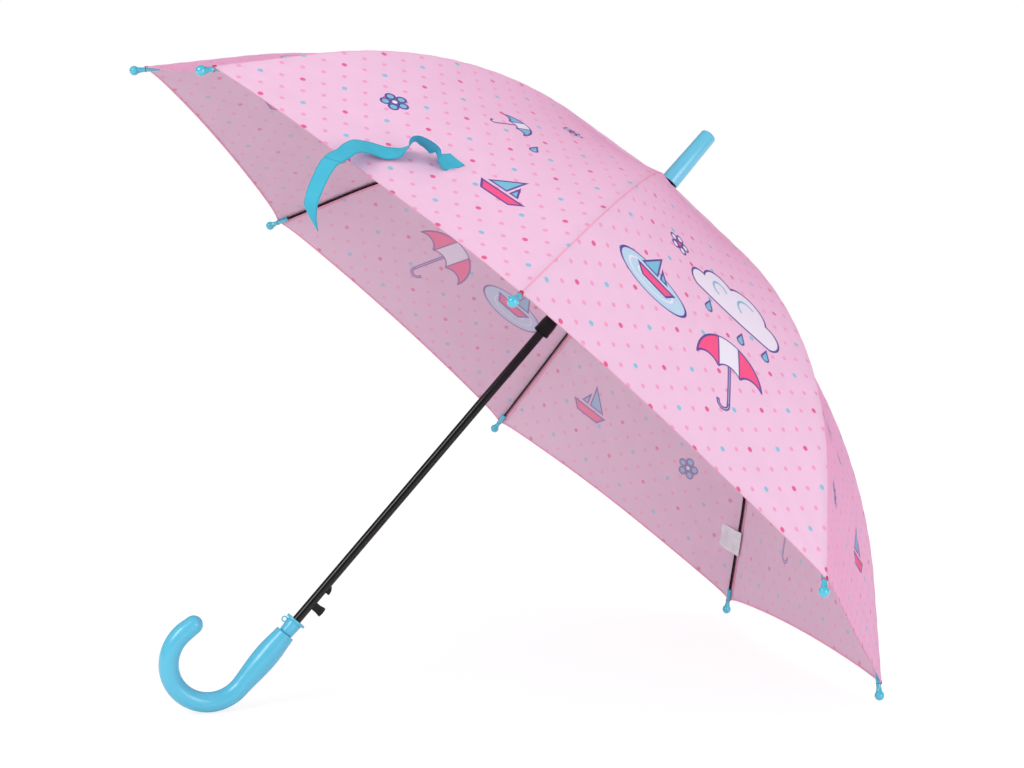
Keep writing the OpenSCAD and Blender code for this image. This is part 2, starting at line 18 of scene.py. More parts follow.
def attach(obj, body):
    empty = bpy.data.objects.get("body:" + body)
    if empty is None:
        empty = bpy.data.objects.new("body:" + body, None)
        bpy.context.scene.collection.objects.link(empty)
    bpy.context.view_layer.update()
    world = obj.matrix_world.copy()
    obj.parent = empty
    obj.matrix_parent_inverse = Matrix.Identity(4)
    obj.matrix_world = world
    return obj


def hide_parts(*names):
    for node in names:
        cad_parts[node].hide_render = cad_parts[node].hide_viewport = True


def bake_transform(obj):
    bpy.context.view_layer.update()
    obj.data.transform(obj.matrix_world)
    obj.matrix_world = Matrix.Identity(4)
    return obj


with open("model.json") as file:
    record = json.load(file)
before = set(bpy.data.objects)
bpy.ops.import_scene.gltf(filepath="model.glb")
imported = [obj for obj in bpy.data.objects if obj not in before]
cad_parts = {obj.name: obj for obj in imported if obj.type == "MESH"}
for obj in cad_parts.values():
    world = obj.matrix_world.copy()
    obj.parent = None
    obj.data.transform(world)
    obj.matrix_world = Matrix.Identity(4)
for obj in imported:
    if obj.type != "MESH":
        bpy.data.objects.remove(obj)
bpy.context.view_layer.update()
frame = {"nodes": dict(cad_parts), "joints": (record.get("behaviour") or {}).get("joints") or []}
scene = bpy.context.scene

# %% [markdown]
# ## The umbrella's own axes
# An umbrella is easiest to describe along its shaft: z runs up to the ferrule, x points to the
# side of the push button, and the top of the canopy is zero. The eight rib pivots lie on a circle
# round the shaft, so their middle and the line that the opening spring slides along give these
# axes, and one matrix then carries every piece into the leaning pose.

# %% Axes along the shaft
MM = 0.001
RIBS = range(1, 9)
PIVOT_DROP = 6.6
joints = {joint["name"]: joint for joint in frame["joints"]}
shaft_up = -Vector(joints["spring_stretch"]["axis"]).normalized()
across = Vector((0, 1, 0))
pivots = [Vector(joints[f"rib_{k}_fold"]["pos_m"]) for k in RIBS]
crown = sum(pivots, Vector()) / len(pivots) + shaft_up * PIVOT_DROP * MM
standing = Matrix((across.cross(shaft_up), across, shaft_up)).transposed().to_4x4()
standing.translation = crown


def placed(points, matrix):
    """Rows of points moved by a 4 by 4 matrix."""
    matrix = np.array(matrix)
    return np.asarray(points, float) @ matrix[:3, :3].T + matrix[:3, 3]


def to_stand(points):
    """Points in millimetres about the shaft, as points of the leaning umbrella in metres."""
    return placed(np.asarray(points, float) * MM, standing)


def full_turn(count):
    """Angles that share out one turn."""
    return np.linspace(0, 2 * math.pi, count, endpoint=False)


print("crown at", [round(c, 4) for c in crown], "lean", round(math.degrees(math.asin(shaft_up.z)), 1))

# %% [markdown]
# ## The line of a rib
# Each rib is a straight, an arc and a straight. Arrays of distances along it give the radius, the
# height and the slope, for the cloth above it and for everything fixed to its end.

# %% Rib line
RIB_INNER, BEND_R, BEND, RIB_SLOPE = 123, 431, 35, 11.8
RIB_LEN, PIVOT_R, CLOTH_RISE = 469.98, 7, 2.6
HALF_GORE = math.radians(22.5)
BEND_LEN = BEND_R * math.radians(BEND)


def rib_angle(s):
    """Slope of the rib below level, in radians, at distance s."""
    return np.radians(RIB_SLOPE) + np.clip((np.asarray(s, float) - RIB_INNER) / BEND_R, 0, np.radians(BEND))


def rib_line(s, rise=0.0):
    """Distance from the shaft and height at distance s along the rib, raised towards the cloth."""
    s, a, start = np.asarray(s, float), rib_angle(s), math.radians(RIB_SLOPE)
    inner, outer = np.minimum(s, RIB_INNER), np.maximum(s - RIB_INNER - BEND_LEN, 0)
    r = PIVOT_R + inner * math.cos(start) + BEND_R * (np.sin(a) - math.sin(start)) + outer * np.cos(a)
    z = -PIVOT_DROP - inner * math.sin(start) - BEND_R * (math.cos(start) - np.cos(a)) - outer * np.sin(a)
    return r + rise * np.sin(a), z + rise * np.cos(a)


def rib_turn(k):
    """Angle of rib k round the shaft, in radians."""
    return -HALF_GORE * (2 * k - 1)


def at_rib(k, s):
    """Places local x along rib k, outwards, and local z out through the cloth, in millimetres."""
    r, z = (float(c) for c in rib_line(s))
    turn = Matrix.Rotation(rib_turn(k), 4, "Z") @ Matrix.Translation((r, 0, z))
    return turn @ Matrix.Rotation(float(rib_angle(s)), 4, "Y")


print("rib ends", [round(float(c), 1) for c in rib_line(RIB_LEN)], "mm from the crown")

# %% [markdown]
# ## Camera, floor and light
# The umbrella stands on a white floor with a white surround, under one large soft light from the
# upper left and a smaller one in front on the right, which reaches under the canopy. Both draw
# long highlights along the round parts. A surround as bright as white paper would drown these and
# bleach the pale cloth, so only the camera and clear things see it white. It lights the umbrella
# a little less, and a gloss mirrors it dim.

# %% Camera
CAMERA_AT, LENS, FILM = (-0.5761, -1.7991, 0.5367), 78, 36
camera = bpy.data.objects.new("camera", bpy.data.cameras.new("camera"))
scene.collection.objects.link(camera)
scene.camera = camera
azimuth, elevation, roll = (math.radians(a) for a in (18.21, 8.16, -0.36))
flat = math.cos(elevation)
ahead = Vector((math.sin(azimuth) * flat, math.cos(azimuth) * flat, -math.sin(elevation)))
level = Vector((math.cos(azimuth), -math.sin(azimuth), 0))
right = level * math.cos(roll) + level.cross(ahead) * math.sin(roll)
view = Matrix((right, right.cross(ahead), -ahead)).transposed().to_4x4()
view.translation = CAMERA_AT
camera.matrix_world = view
camera.data.sensor_width, camera.data.lens = FILM, LENS
print("camera looks along", [round(c, 2) for c in ahead])


# %% [markdown]
# ## Materials as expressions
# A finish is one material. Its node() adds any shader node from its type, settings and inputs,
# and returns a Number. Numbers add, multiply and compare like ordinary values and leave Math
# nodes behind, so a printed pattern reads as the geometry it is.

# %% Shader maths
class Number:
    """A value that varies over a surface."""

    def __init__(self, finish, socket):
        self.finish, self.socket = finish, socket

    def maths(self, operation, *others, clamp=False):
        values = dict(enumerate((self, *others)))
        return self.finish.node("Math", {"operation": operation, "use_clamp": clamp}, values)

    def step(self, slope):
        """Goes from 0 to 1, or back for a negative slope, where the value crosses zero."""
        return (self * slope).maths("ADD", 0.5, clamp=True)

    def __rsub__(self, other):
        return self.finish.node("Math", {"operation": "SUBTRACT"}, {0: other, 1: self})

    __add__ = __radd__ = partialmethod(maths, "ADD")
    __mul__ = __rmul__ = partialmethod(maths, "MULTIPLY")
    __sub__ = partialmethod(maths, "SUBTRACT")
    __truediv__ = partialmethod(maths, "DIVIDE")
    __mod__ = partialmethod(maths, "FLOORED_MODULO")
    __pow__ = partialmethod(maths, "POWER")
    __lt__ = partialmethod(maths, "LESS_THAN")
    __abs__ = partialmethod(maths, "ABSOLUTE")
    # Of two outlines, whatever lies in either, and whatever lies in both.
    __or__ = partialmethod(maths, "MINIMUM")
    __and__ = partialmethod(maths, "MAXIMUM")


class Finish:
    """One material, built round its Principled shader."""

    def __init__(self, name, **uniform):
        self.material = bpy.data.materials.new(name)
        self.material.use_nodes = True
        self.tree = self.material.node_tree
        self.shader = self.tree.nodes["Principled BSDF"]
        for socket, value in uniform.items():
            self.set(socket.replace("_", " "), value)

    def give(self, socket, value):
        if isinstance(value, Number):
            self.tree.links.new(value.socket, socket)
        else:
            socket.default_value = value

    def set(self, name, value):
        """Gives one of the shader's own sockets a number, a colour or something that varies."""
        self.give(self.shader.inputs[name], value)

    def node(self, kind, settings=None, inputs=None, output=0):
        made = self.tree.nodes.new("ShaderNode" + kind)
        for name, value in (settings or {}).items():
            setattr(made, name, value)
        for name, value in (inputs or {}).items():
            self.give(made.inputs[name], value)
        return Number(self, made.outputs[output])

    def blend(self, amount, under, over, how="MIX"):
        """A colour, from under where amount is 0 to over where it is 1."""
        settings = {"data_type": "RGBA", "blend_type": how}
        return self.node("Mix", settings, {0: amount, 6: under, 7: over}, output=2)

    def xy(self, where):
        """The first two coordinates of a point."""
        return [self.node("SeparateXYZ", {}, {0: where}, output=i) for i in (0, 1)]

    def millimetres(self, where):
        return self.node("VectorMath", {"operation": "SCALE"}, {0: where, "Scale": 1 / MM})

    def on_map(self, name):
        """Where a point lies on one of its piece's own flat maps."""
        return self.millimetres(self.node("UVMap", {"uv_map": name}))

    def place(self):
        """Where a point lies on the resting object."""
        return self.millimetres(self.node("TexCoord", output="Object"))

    def noise(self, where, scale, detail=3.0, stretch=(1, 1, 1)):
        """Smooth mottling of the given number of spots to a millimetre."""
        spread = self.node("Mapping", {}, {"Vector": where, "Scale": stretch})
        return self.node("TexNoise", {}, {"Vector": spread, "Scale": scale, "Detail": detail})

    def mix_in(self, amount, other):
        """Mixes another shader with the Principled one."""
        both = self.node("MixShader", {}, {0: amount, 1: Number(self, self.shader.outputs[0]), 2: other})
        self.give(self.tree.nodes["Material Output"].inputs["Surface"], both)

    def let_light_through(self, colour, share):
        """Thin cloth also passes some of the light that falls on its other side."""
        self.mix_in(share, self.node("BsdfTranslucent", {}, {"Color": colour}))

    def emboss(self, height, depth):
        """Raises the surface by height times depth, in millimetres."""
        self.set("Normal", self.node("Bump", {}, {"Height": height, "Strength": 1.0, "Distance": depth * MM}))


def ink(red, green, blue):
    """A colour as it is mixed for print or plastic, from 0 to 255, as a linear value."""
    channels = [c / 255 for c in (red, green, blue)]
    return (*[c / 12.92 if c <= 0.04045 else ((c + 0.055) / 1.055) ** 2.4 for c in channels], 1)


def shaded(colour, share):
    """A colour with its light scaled."""
    return (*[c * share for c in colour[:3]], 1)


print("white is", ink(255, 255, 255))

# %% Floor and surround
FLOOR_R, FLOOR_Z, PAPER_GLOW, GLOW_SHARE = 14, -0.0002, 1.12, 0.72
TO_CAMERA, TO_CLOTH, TO_GLOSS = 1.0, 0.9, 0.2

turn = full_turn(96)
disc = bpy.data.meshes.new("floor")
disc.from_pydata((FLOOR_R * np.stack([np.cos(turn), np.sin(turn), 0 * turn], 1)).tolist(), [], [list(range(len(turn)))])
floor = bpy.data.objects.new("floor", disc)
scene.collection.objects.link(floor)
floor.location.z = FLOOR_Z
paper = Finish("white paper", Base_Color=(0.9, 0.9, 0.9, 1), Roughness=0.9, Specular_IOR_Level=0.1)
seen = paper.node("LightPath", output="Is Camera Ray")
paper.mix_in(seen * GLOW_SHARE, paper.node("Emission", {}, {"Color": (1, 1, 1, 1), "Strength": PAPER_GLOW}))
floor.data.materials.append(paper.material)

world = bpy.data.worlds.new("white surround")
scene.world = world
world.use_nodes = True
sky = world.node_tree
path = sky.nodes.new("ShaderNodeLightPath")
white, soft, dim = sky.nodes["Background"], *(sky.nodes.new("ShaderNodeBackground") for _ in range(2))
for ground, strength in ((white, TO_CAMERA), (soft, TO_CLOTH), (dim, TO_GLOSS)):
    ground.inputs["Color"].default_value, ground.inputs["Strength"].default_value = (1, 1, 1, 1), strength
plain = sky.nodes.new("ShaderNodeMath")
plain.operation = "MAXIMUM"
for i, ray in enumerate(("Is Camera Ray", "Is Transmission Ray")):
    sky.links.new(path.outputs[ray], plain.inputs[i])
shiny, choice = sky.nodes.new("ShaderNodeMixShader"), sky.nodes.new("ShaderNodeMixShader")
mixers = ((shiny, path.outputs["Is Glossy Ray"], soft, dim), (choice, plain.outputs[0], shiny, white))
for mixer, amount, low, high in mixers:
    for i, link in enumerate((amount, low.outputs[0], high.outputs[0])):
        sky.links.new(link, mixer.inputs[i])
sky.links.new(choice.outputs[0], sky.nodes["World Output"].inputs["Surface"])
print("floor of radius", FLOOR_R, "m")


# %% Lights
def soft_light(name, place, size, power, aim=(0, 0, 0.25)):
    lamp = bpy.data.objects.new(name, bpy.data.lights.new(name, "AREA"))
    lamp.data.shape, lamp.data.size, lamp.data.size_y, lamp.data.energy = "RECTANGLE", *size, power
    lamp.location = place
    lamp.rotation_euler = (Vector(place) - Vector(aim)).to_track_quat("Z", "Y").to_euler()
    scene.collection.objects.link(lamp)


soft_light("key light", (-2.1, -1.0, 1.9), (1.1, 1.3), 25)
soft_light("front light", (0.9, -2.2, 0.72), (1.1, 1.2), 14)
scene.view_settings.view_transform = "Standard"

# %% [markdown]
# ## Surfaces from grids
# Cloth, tubes and turned parts are all grids of points: rows one way and columns the other, and
# closed round where the piece is. A few helpers number their faces, turn such arrays into an
# object with its finish and its map, sweep rings along a line and turn a profile.

# %% Grid helpers
def quads(rows, columns, closed=False, flip=False):
    """Faces of a grid whose points are numbered along each row."""
    i, j = np.meshgrid(np.arange(rows - 1), np.arange(columns if closed else columns - 1), indexing="ij")
    a, b = i * columns + j, i * columns + (j + 1) % columns
    faces = np.stack([a, b, b + columns, a + columns], -1).reshape(-1, 4)
    return faces[:, ::-1] if flip else faces


def grid_rim(rows, columns):
    """Numbers of the points round the edge of a grid, in order."""
    return np.concatenate([np.arange(columns), np.arange(1, rows) * columns + columns - 1,
        (rows - 1) * columns + np.arange(columns - 2, -1, -1), np.arange(rows - 2, 0, -1) * columns])


def sheet_faces(rows, columns):
    """Faces of a thin closed sheet: its top, its underside as a second grid, and its edge."""
    rim, count = grid_rim(rows, columns), rows * columns
    after = np.roll(rim, -1)
    edge = np.stack([after, rim, rim + count, after + count], -1)
    return [*quads(rows, columns, flip=True), *(quads(rows, columns) + count), *edge]


def ring_faces(rows, sides, flip=True):
    """Faces of a row of rings, closed by a flat face at both ends."""
    last = (rows - 1) * sides
    ends = [list(range(sides)), list(range(last + sides - 1, last - 1, -1))]
    return quads(rows, sides, closed=True, flip=flip).tolist() + [end if flip else end[::-1] for end in ends]


def piece(name, points, faces, finish, body=None, slot=None, stands_for=()):
    """A new object of the umbrella, from points about the shaft in millimetres."""
    mesh = bpy.data.meshes.new(name)
    mesh.from_pydata(to_stand(points).tolist(), [], [list(map(int, face)) for face in faces])
    mesh.update()
    mesh.shade_smooth()
    mesh.set_sharp_from_angle(angle=math.radians(45))
    made = bpy.data.objects.new(name, mesh)
    scene.collection.objects.link(made)
    mesh.materials.append(finish.material)
    if body:
        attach(made, body)
    if stands_for:
        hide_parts(*stands_for)
    return made


def unroll(made, name, chart):
    """Gives a piece a flat map from one point of the chart, in millimetres, for each of its own."""
    corner = np.empty(len(made.data.loops), int)
    made.data.loops.foreach_get("vertex_index", corner)
    layer = made.data.uv_layers.new(name=name)
    layer.data.foreach_set("uv", (chart[corner] * MM).ravel().astype(np.float32))


def tube(line, radii, sides=32, up=(0, 1, 0), along=None):
    """Rings about a line of points, square to it or to a given direction, closed at both ends."""
    line, radii = np.asarray(line, float), np.asarray(radii, float)
    along = np.gradient(line, axis=0) if along is None else np.asarray(along, float)
    along = along / np.linalg.norm(along, axis=1)[:, None]
    side = np.cross(along, np.asarray(up, float))
    side /= np.linalg.norm(side, axis=1)[:, None]
    third = np.cross(along, side)
    angle = full_turn(sides)[:, None]
    ring = np.cos(angle) * side[:, None, :] + np.sin(angle) * third[:, None, :]
    return (line[:, None, :] + ring * radii[:, None, None]).reshape(-1, 3), ring_faces(len(line), sides)


def turned(profile, place, sides=48):
    """A profile of (distance along x, radius) turned about local x, put in place by a matrix."""
    reach, radii = np.transpose(profile)
    points, faces = tube(np.outer(reach, (1, 0, 0)), radii, sides, (0, 0, -1), [(1, 0, 0)] * len(reach))
    return placed(points, place), faces


def eased(corners, radius, steps=5):
    """A profile with each inner corner rounded by an arc-like curve."""
    corners = [np.asarray(c, float) for c in corners]
    line = [corners[0]]
    for before, corner, after in zip(corners, corners[1:], corners[2:]):
        legs = [np.linalg.norm(end - corner) for end in (before, after)]
        cut = [min(radius, leg * 0.45) / leg for leg in legs]
        a, b = corner + (before - corner) * cut[0], corner + (after - corner) * cut[1]
        for u in np.linspace(0, 1, steps):
            line.append((1 - u) ** 2 * a + 2 * u * (1 - u) * corner + u * u * b)
    return np.array(line + [corners[-1]])


def curve_through(stations, steps):
    """A smooth line through points of any size, by Catmull-Rom."""
    p = np.asarray(stations, float)
    p = np.vstack([2 * p[0] - p[1], p, 2 * p[-1] - p[-2]])
    out = []
    for a, b, c, d in zip(p, p[1:], p[2:], p[3:]):
        square, cube = 2 * a - 5 * b + 4 * c - d, 3 * b - 3 * c + d - a
        for u in np.linspace(0, 1, steps, endpoint=False):
            out.append(0.5 * (2 * b + (c - a) * u + square * u ** 2 + cube * u ** 3))
    return np.array(out + [p[-2]])


print("grid of 3 rows and 4 columns has", len(quads(3, 4)), "faces")

# %% [markdown]
# ## Printed cloth
# The canopy is plain-woven polyester, light pink, with a shower of small dots and a few larger
# pictures. Drawing it as maths on a map of the gore, in millimetres across and along, keeps the
# dots round and sharp at any distance. The dots sit on a square lattice turned by 45 degrees.
# Along every fourth line one in two is hot pink or sky blue. The same drawing, paler, shows
# through to the inside of the cloth.

# %% Colours of the print
# The third colour below is no ink but a painted shade: it deepens the outside's pink where the cloth is seen at a
# slant.
CLOTH, LINING, SLANT_SHADE = ink(243, 207, 232), ink(234, 206, 223), (0.97, 0.53, 0.74, 1)
DOT, HOT, SKY = ink(243, 160, 200), ink(232, 84, 142), ink(120, 204, 226)
NAVY, WHITE, PUDDLE = ink(58, 54, 150), ink(236, 242, 250), ink(184, 226, 242)
CHERRY, TEAL = ink(250, 72, 132), ink(104, 200, 224)
ACROSS, ALONG, DOT_R = 11.55, 11.35, 1.95


# %% Outlines for pictures
class Print(Finish):
    """A cloth finish with shapes laid over each other in ink."""

    def start(self, colour, cover):
        self.colour, self.cover = colour, cover

    def spot(self, where, x, y, radius):
        """Outline of a round spot: the distance from its rim, below zero inside."""
        return self.node("VectorMath", {"operation": "DISTANCE"}, {0: where, 1: (x, y, 0)}, output=1) - radius

    def facing(self, where, angle, distance):
        """Outline of the half of the cloth that lies behind a straight edge."""
        turn = math.radians(angle)
        inputs = {0: where, 1: (math.cos(turn), math.sin(turn), 0)}
        return self.node("VectorMath", {"operation": "DOT_PRODUCT"}, inputs, output=1) - distance

    def polygon(self, where, edges):
        outline = self.facing(where, *edges[0])
        for angle, distance in edges[1:]:
            outline = outline & self.facing(where, angle, distance)
        return outline

    def picture(self, where, x, y, size=1.0, turn=0.0, squash=1.0):
        """Coordinates of a picture of its own, upright towards the crown."""
        return self.node("Mapping", {"vector_type": "TEXTURE"}, {"Vector": where, "Location": (x, y, 0),
            "Rotation": (0, 0, math.radians(turn)), "Scale": (size, -size * squash, 1)})

    def inked(self, outline, fill, line=1.1, edge=NAVY, size=1.0):
        """Lays a filled shape with a drawn edge over what is there."""
        sharp = 2.4 * size
        whole, inner = outline.step(-sharp), (outline + 1.7 * line / size).step(-sharp)
        self.cover = self.cover.maths("MAXIMUM", whole)
        self.colour = self.blend(inner, self.blend(whole, self.colour, edge), fill)


def dots(finish, where, shift):
    """Colour and cover of the dots."""
    x, y = finish.xy(where)
    u, v = (x - shift[0]) / ACROSS, (y - shift[1]) / ALONG
    a, b = ((u + v) * 0.5).maths("ROUND"), ((u - v) * 0.5).maths("ROUND")
    i, j = a + b, a - b
    far = (((u - i) * ACROSS) ** 2 + ((v - j) * ALONG) ** 2) ** 0.5
    hot = ((i % 4) < 0.5) * ((j % 4) < 0.5)
    sky_dot = (abs((i % 4) - 2) < 0.5) * (abs((j % 4) - 2) < 0.5)
    colour = finish.blend(sky_dot, finish.blend(hot, DOT, HOT), SKY)
    return colour, (DOT_R + 0.25 * (hot + sky_dot) - far).step(2.2)


print("lattice of", ACROSS, "by", ALONG, "mm")


# %% Pictures: cloud, drops, umbrella, flower, boat and puddle
def cloud(cloth, where, x, y, size):
    own = cloth.picture(where, x, y, size)
    puffs = cloth.spot(own, -24, -2, 12)
    for x, y, r in ((-8, 8, 17), (14, 5, 15), (29, -4, 10)):
        puffs = puffs | cloth.spot(own, x, y, r)
    base = cloth.polygon(own, [(0, 30), (180, 25), (90, 4), (270, 13)])
    cloth.inked((puffs | base) & cloth.facing(own, 270, 13), WHITE, 1.2, size=size)
    for x, y, r in ((-9, 8, 8), (14, 5, 6)):
        curl = abs(cloth.spot(own, x, y, r)) - 0.8
        cloth.inked(curl & cloth.facing(own, 215, 0.71 * (-x - y) + 2), TEAL, 0, TEAL, size=size)


def drop(cloth, where, x, y, size, turn=0.0):
    own = cloth.picture(where, x, y, size, turn)
    point = cloth.polygon(own, [(22, 3.9), (158, 3.9), (270, -1)])
    cloth.inked(cloth.spot(own, 0, 0, 4) | point, TEAL, 0.9, size=size)


def toy_umbrella(cloth, where, x, y, size, turn, colour):
    own = cloth.picture(where, x, y, size, turn)
    stick = cloth.polygon(own, [(0, 1.1), (180, 1.1), (90, 8), (270, 21)])
    crook = abs(cloth.spot(own, 3.4, -21, 3.4)) - 1.1
    cloth.inked(stick | (crook & cloth.facing(own, 90, -20)), WHITE, 0.9, size=size)
    roof = cloth.spot(own, 0, -2, 22) & cloth.facing(own, 270, 1)
    for scallop in (-14.4, 0, 14.4):
        roof = roof & (0 - cloth.spot(own, scallop, -5.5, 8))
    cloth.inked(roof, colour, 1.1, size=size)
    middle = roof & (cloth.spot(own, 0, 6, 15) | cloth.polygon(own, [(0, 7), (180, 7), (90, 14)]))
    cloth.inked(middle & cloth.polygon(own, [(0, 7.2), (180, 7.2)]), WHITE, 0.8, size=size)


def flower(cloth, where, x, y, size, colour):
    own = cloth.picture(where, x, y, size)
    petals = cloth.spot(own, 0, 10, 6.2)
    for turn in (math.radians(72 * i) for i in range(1, 5)):
        petals = petals | cloth.spot(own, -10 * math.sin(turn), 10 * math.cos(turn), 6.2)
    cloth.inked(petals, colour, 1.1, size=size)
    cloth.inked(cloth.spot(own, 0, 0, 5.2), CHERRY if colour == WHITE else WHITE, 1.0, size=size)


def puddle(cloth, where, x, y, size):
    own = cloth.picture(where, x, y, size, squash=0.42)
    rim = cloth.spot(own, 0, 0, 30)
    cloth.inked(rim, PUDDLE, 1.5, size=size)
    for x, r in ((2, 19), (5, 8)):
        cloth.inked(abs(cloth.spot(own, x, 0, r)) - 0.8, WHITE, 0, WHITE, size=size)


def boat(cloth, where, x, y, size):
    own = cloth.picture(where, x, y, size)
    hull = cloth.polygon(own, [(90, 0), (270, 8), (-38, 13), (218, 13)])
    sail = cloth.polygon(own, [(270, -2), (180, 1), (36, 12)])
    small = cloth.polygon(own, [(270, -2), (0, -2.5), (148, 9)])
    cloth.inked(sail | small, TEAL, 1.0, size=size)
    cloth.inked(hull, CHERRY, 1.1, size=size)


def large_pictures(cloth, where):
    cloud(cloth, where, -22, 286, 1.3)
    for x, y in ((-56, 316), (-30, 322), (6, 318)):
        drop(cloth, where, x, y, 1.1)
    toy_umbrella(cloth, where, -26, 366, 1.6, 14, CHERRY)
    puddle(cloth, where, 62, 352, 1.25)
    boat(cloth, where, 60, 345, 1.3)
    flower(cloth, where, 44, 272, 0.7, WHITE)


def small_pictures(cloth, where):
    boat(cloth, where, -64, 386, 1.35)
    flower(cloth, where, 62, 372, 0.75, TEAL)
    toy_umbrella(cloth, where, 6, 290, 0.8, -20, TEAL)
    drop(cloth, where, -30, 308, 1.0, 20)
    flower(cloth, where, -4, 214, 0.6, WHITE)


print("pictures", [f.__name__ for f in (cloud, drop, toy_umbrella, flower, puddle, boat)])


# %% Cloth finishes
SHOW_THROUGH, FLAT_TOP, SEAM_FOLD, FOLD = 0.6, 130, 0.8, ink(250, 168, 200)


def weave(cloth, where, pitch, depth):
    """Threads over and under each other, and a little slack."""
    warp, weft = ((c * (2 * math.pi / pitch)).maths("SINE") for c in cloth.xy(where))
    slack = cloth.noise(where, 0.05, 2)
    cloth.emboss(warp * weft + slack * 1.5, depth)
    return slack


def gore_finish(k, inside):
    """Printed cloth of gore k: odd gores carry small pictures and even ones large. Outside, a painted
    shade deepens the pink where the cloth is seen at a slant, except near the crown."""
    name = f"canopy {'lining' if inside else 'print'} {k}"
    cloth = Print(name, Roughness=0.62, Specular_IOR_Level=0.25, Sheen_Weight=0.12)
    where = cloth.on_map("cloth")
    cloth.start(*dots(cloth, where, (-17 - 6 * (k % 2), 420)))
    (large_pictures if k % 2 == 0 else small_pictures)(cloth, where)
    slack = weave(cloth, where, 0.5, 0.02)
    ground = LINING if inside else CLOTH
    plain = cloth.blend(slack, shaded(ground, 0.93), ground)
    if inside:
        printed = cloth.blend(cloth.cover * SHOW_THROUGH, plain, cloth.colour)
    else:
        to_seam, to_crown = cloth.xy(cloth.on_map("seam"))
        fold = (to_seam - SEAM_FOLD).step(-3)
        printed = cloth.blend(cloth.cover, cloth.blend(fold * 0.8, plain, FOLD), cloth.colour)
        # Painted shade: where the outside is seen at a slant, its colour is multiplied towards a deeper pink, fading
        # out near the crown.
        slant = cloth.node("LayerWeight", {}, {"Blend": 0.5}, output=1)
        slant_shade = slant ** 3 * (to_crown / FLAT_TOP).maths("MINIMUM", 1)
        printed = cloth.blend(slant_shade, printed, SLANT_SHADE, "MULTIPLY")
    cloth.set("Base Color", printed)
    cloth.let_light_through(CLOTH, 0.25)
    return cloth


def plain_cloth(name, colour, pitch=0.5):
    cloth = Finish(name, Roughness=0.6, Specular_IOR_Level=0.25)
    where = cloth.place()
    slack = weave(cloth, where, pitch, 0.03)
    cloth.set("Base Color", cloth.blend(slack, shaded(colour, 0.9), colour))
    return cloth


outside = {k: gore_finish(k, False) for k in RIBS}
lining = {k: gore_finish(k, True) for k in RIBS}
seam_cloth = plain_cloth("seam allowance", ink(243, 170, 198))
hem_cloth = plain_cloth("folded hem", ink(242, 168, 198))
thread = plain_cloth("dark pink thread", ink(196, 48, 100), 0.3)
print("nodes in one print", len(outside[2].tree.nodes))

# %% [markdown]
# ## The canopy
# A gore is cut as a triangle with curved sides, sewn to its neighbours over the ribs and held
# taut by them. Between two ribs it spans almost straight across, a little hollow in the middle,
# with fine puckers along the seams and folds that run from the sewn corners. Each gore is one
# sheet with an outside, a lining 0.4 mm under it and a rolled hem, and its two long edges meet
# its neighbours', so the canopy reads as one surface.

# %% Shape of the cloth
ROWS, COLUMNS = 84, 44
CLOTH_T, HEM_SAG, INNER_EDGE = 0.4, 9.3, -2.0
HOLLOW, PUCKER, PULL, DRIFT = 6.0, 0.16, 0.5, 0.5
PRINT_SAG, PRINT_BENDS_AT, PRINT_BENDS_OVER = 4.6, 340, 130


def hem_at(v):
    """Distance along the rib of the curved hem, for v from -1 to 1 across the gore."""
    return RIB_LEN + 1.0 - HEM_SAG * (1 - v * v) + 2.2 * np.abs(v) ** 14


def on_gore(k, s, w, lift=0.0):
    """Points of gore k, w millimetres from its middle line, on the straight span between its ribs."""
    r, z = rib_line(s, CLOTH_RISE)
    out, turn = r * math.cos(HALF_GORE), -2 * HALF_GORE * k
    a = rib_angle(s)
    n = np.stack([np.sin(a), math.cos(HALF_GORE) * np.cos(a)], -1)
    n /= np.linalg.norm(n, axis=-1, keepdims=True)
    out, z = out + lift * n[..., 0], z + lift * n[..., 1]
    c, d = math.cos(turn), math.sin(turn)
    return np.stack([out * c + w * d, out * d - w * c, z], -1)


def half_width(s):
    return rib_line(s, CLOTH_RISE)[0] * math.sin(HALF_GORE)


def relief(k, s, v):
    """How far the taut cloth stands above its straight span, in millimetres."""
    w = v * half_width(s)
    edge = (1 - np.abs(v)) * half_width(s)
    hollow = -HOLLOW * (1 - v * v) * np.sin(np.pi * np.clip(s / 610, 0, 1)) ** 0.8
    pucker = PUCKER * np.exp(-edge / 7) * np.sin(2 * np.pi * s / 7.3 + k + 0.8 * np.sin(s / 31))
    reach = np.hypot(edge, RIB_LEN - s)
    pull = PULL * np.exp(-reach / 60) * np.cos(12 * np.arctan2(RIB_LEN - s, edge + 4) + k)
    drift = DRIFT * np.sin(s / 53 + k * 1.7) * np.cos(w / 41 + k) * (1 - v ** 4)
    return hollow + pucker + pull * (1 - np.exp(-edge / 5)) + drift


def sheet_points(k, s, v, under=0.0):
    return on_gore(k, s, v * half_width(s), relief(k, s, v) - under)


print("hem sags", HEM_SAG, "mm at the middle of a gore")


# %% One gore
def tie_between(made, share):
    """Bakes the piece's placement into its points; each point's share of a second body is not used."""
    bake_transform(made)


def cloth_piece(name, k, s, v, depths, finish, stands_for=()):
    """A closed sheet between two depths below the canopy's surface."""
    skins = [sheet_points(k, s, v, depth).reshape(-1, 3) for depth in depths]
    made = piece(name, np.vstack(skins), sheet_faces(*s.shape), finish, None, "canopy_cloth", stands_for)
    tie_between(made, np.tile((v.reshape(-1) + 1) / 2, 2))
    return made


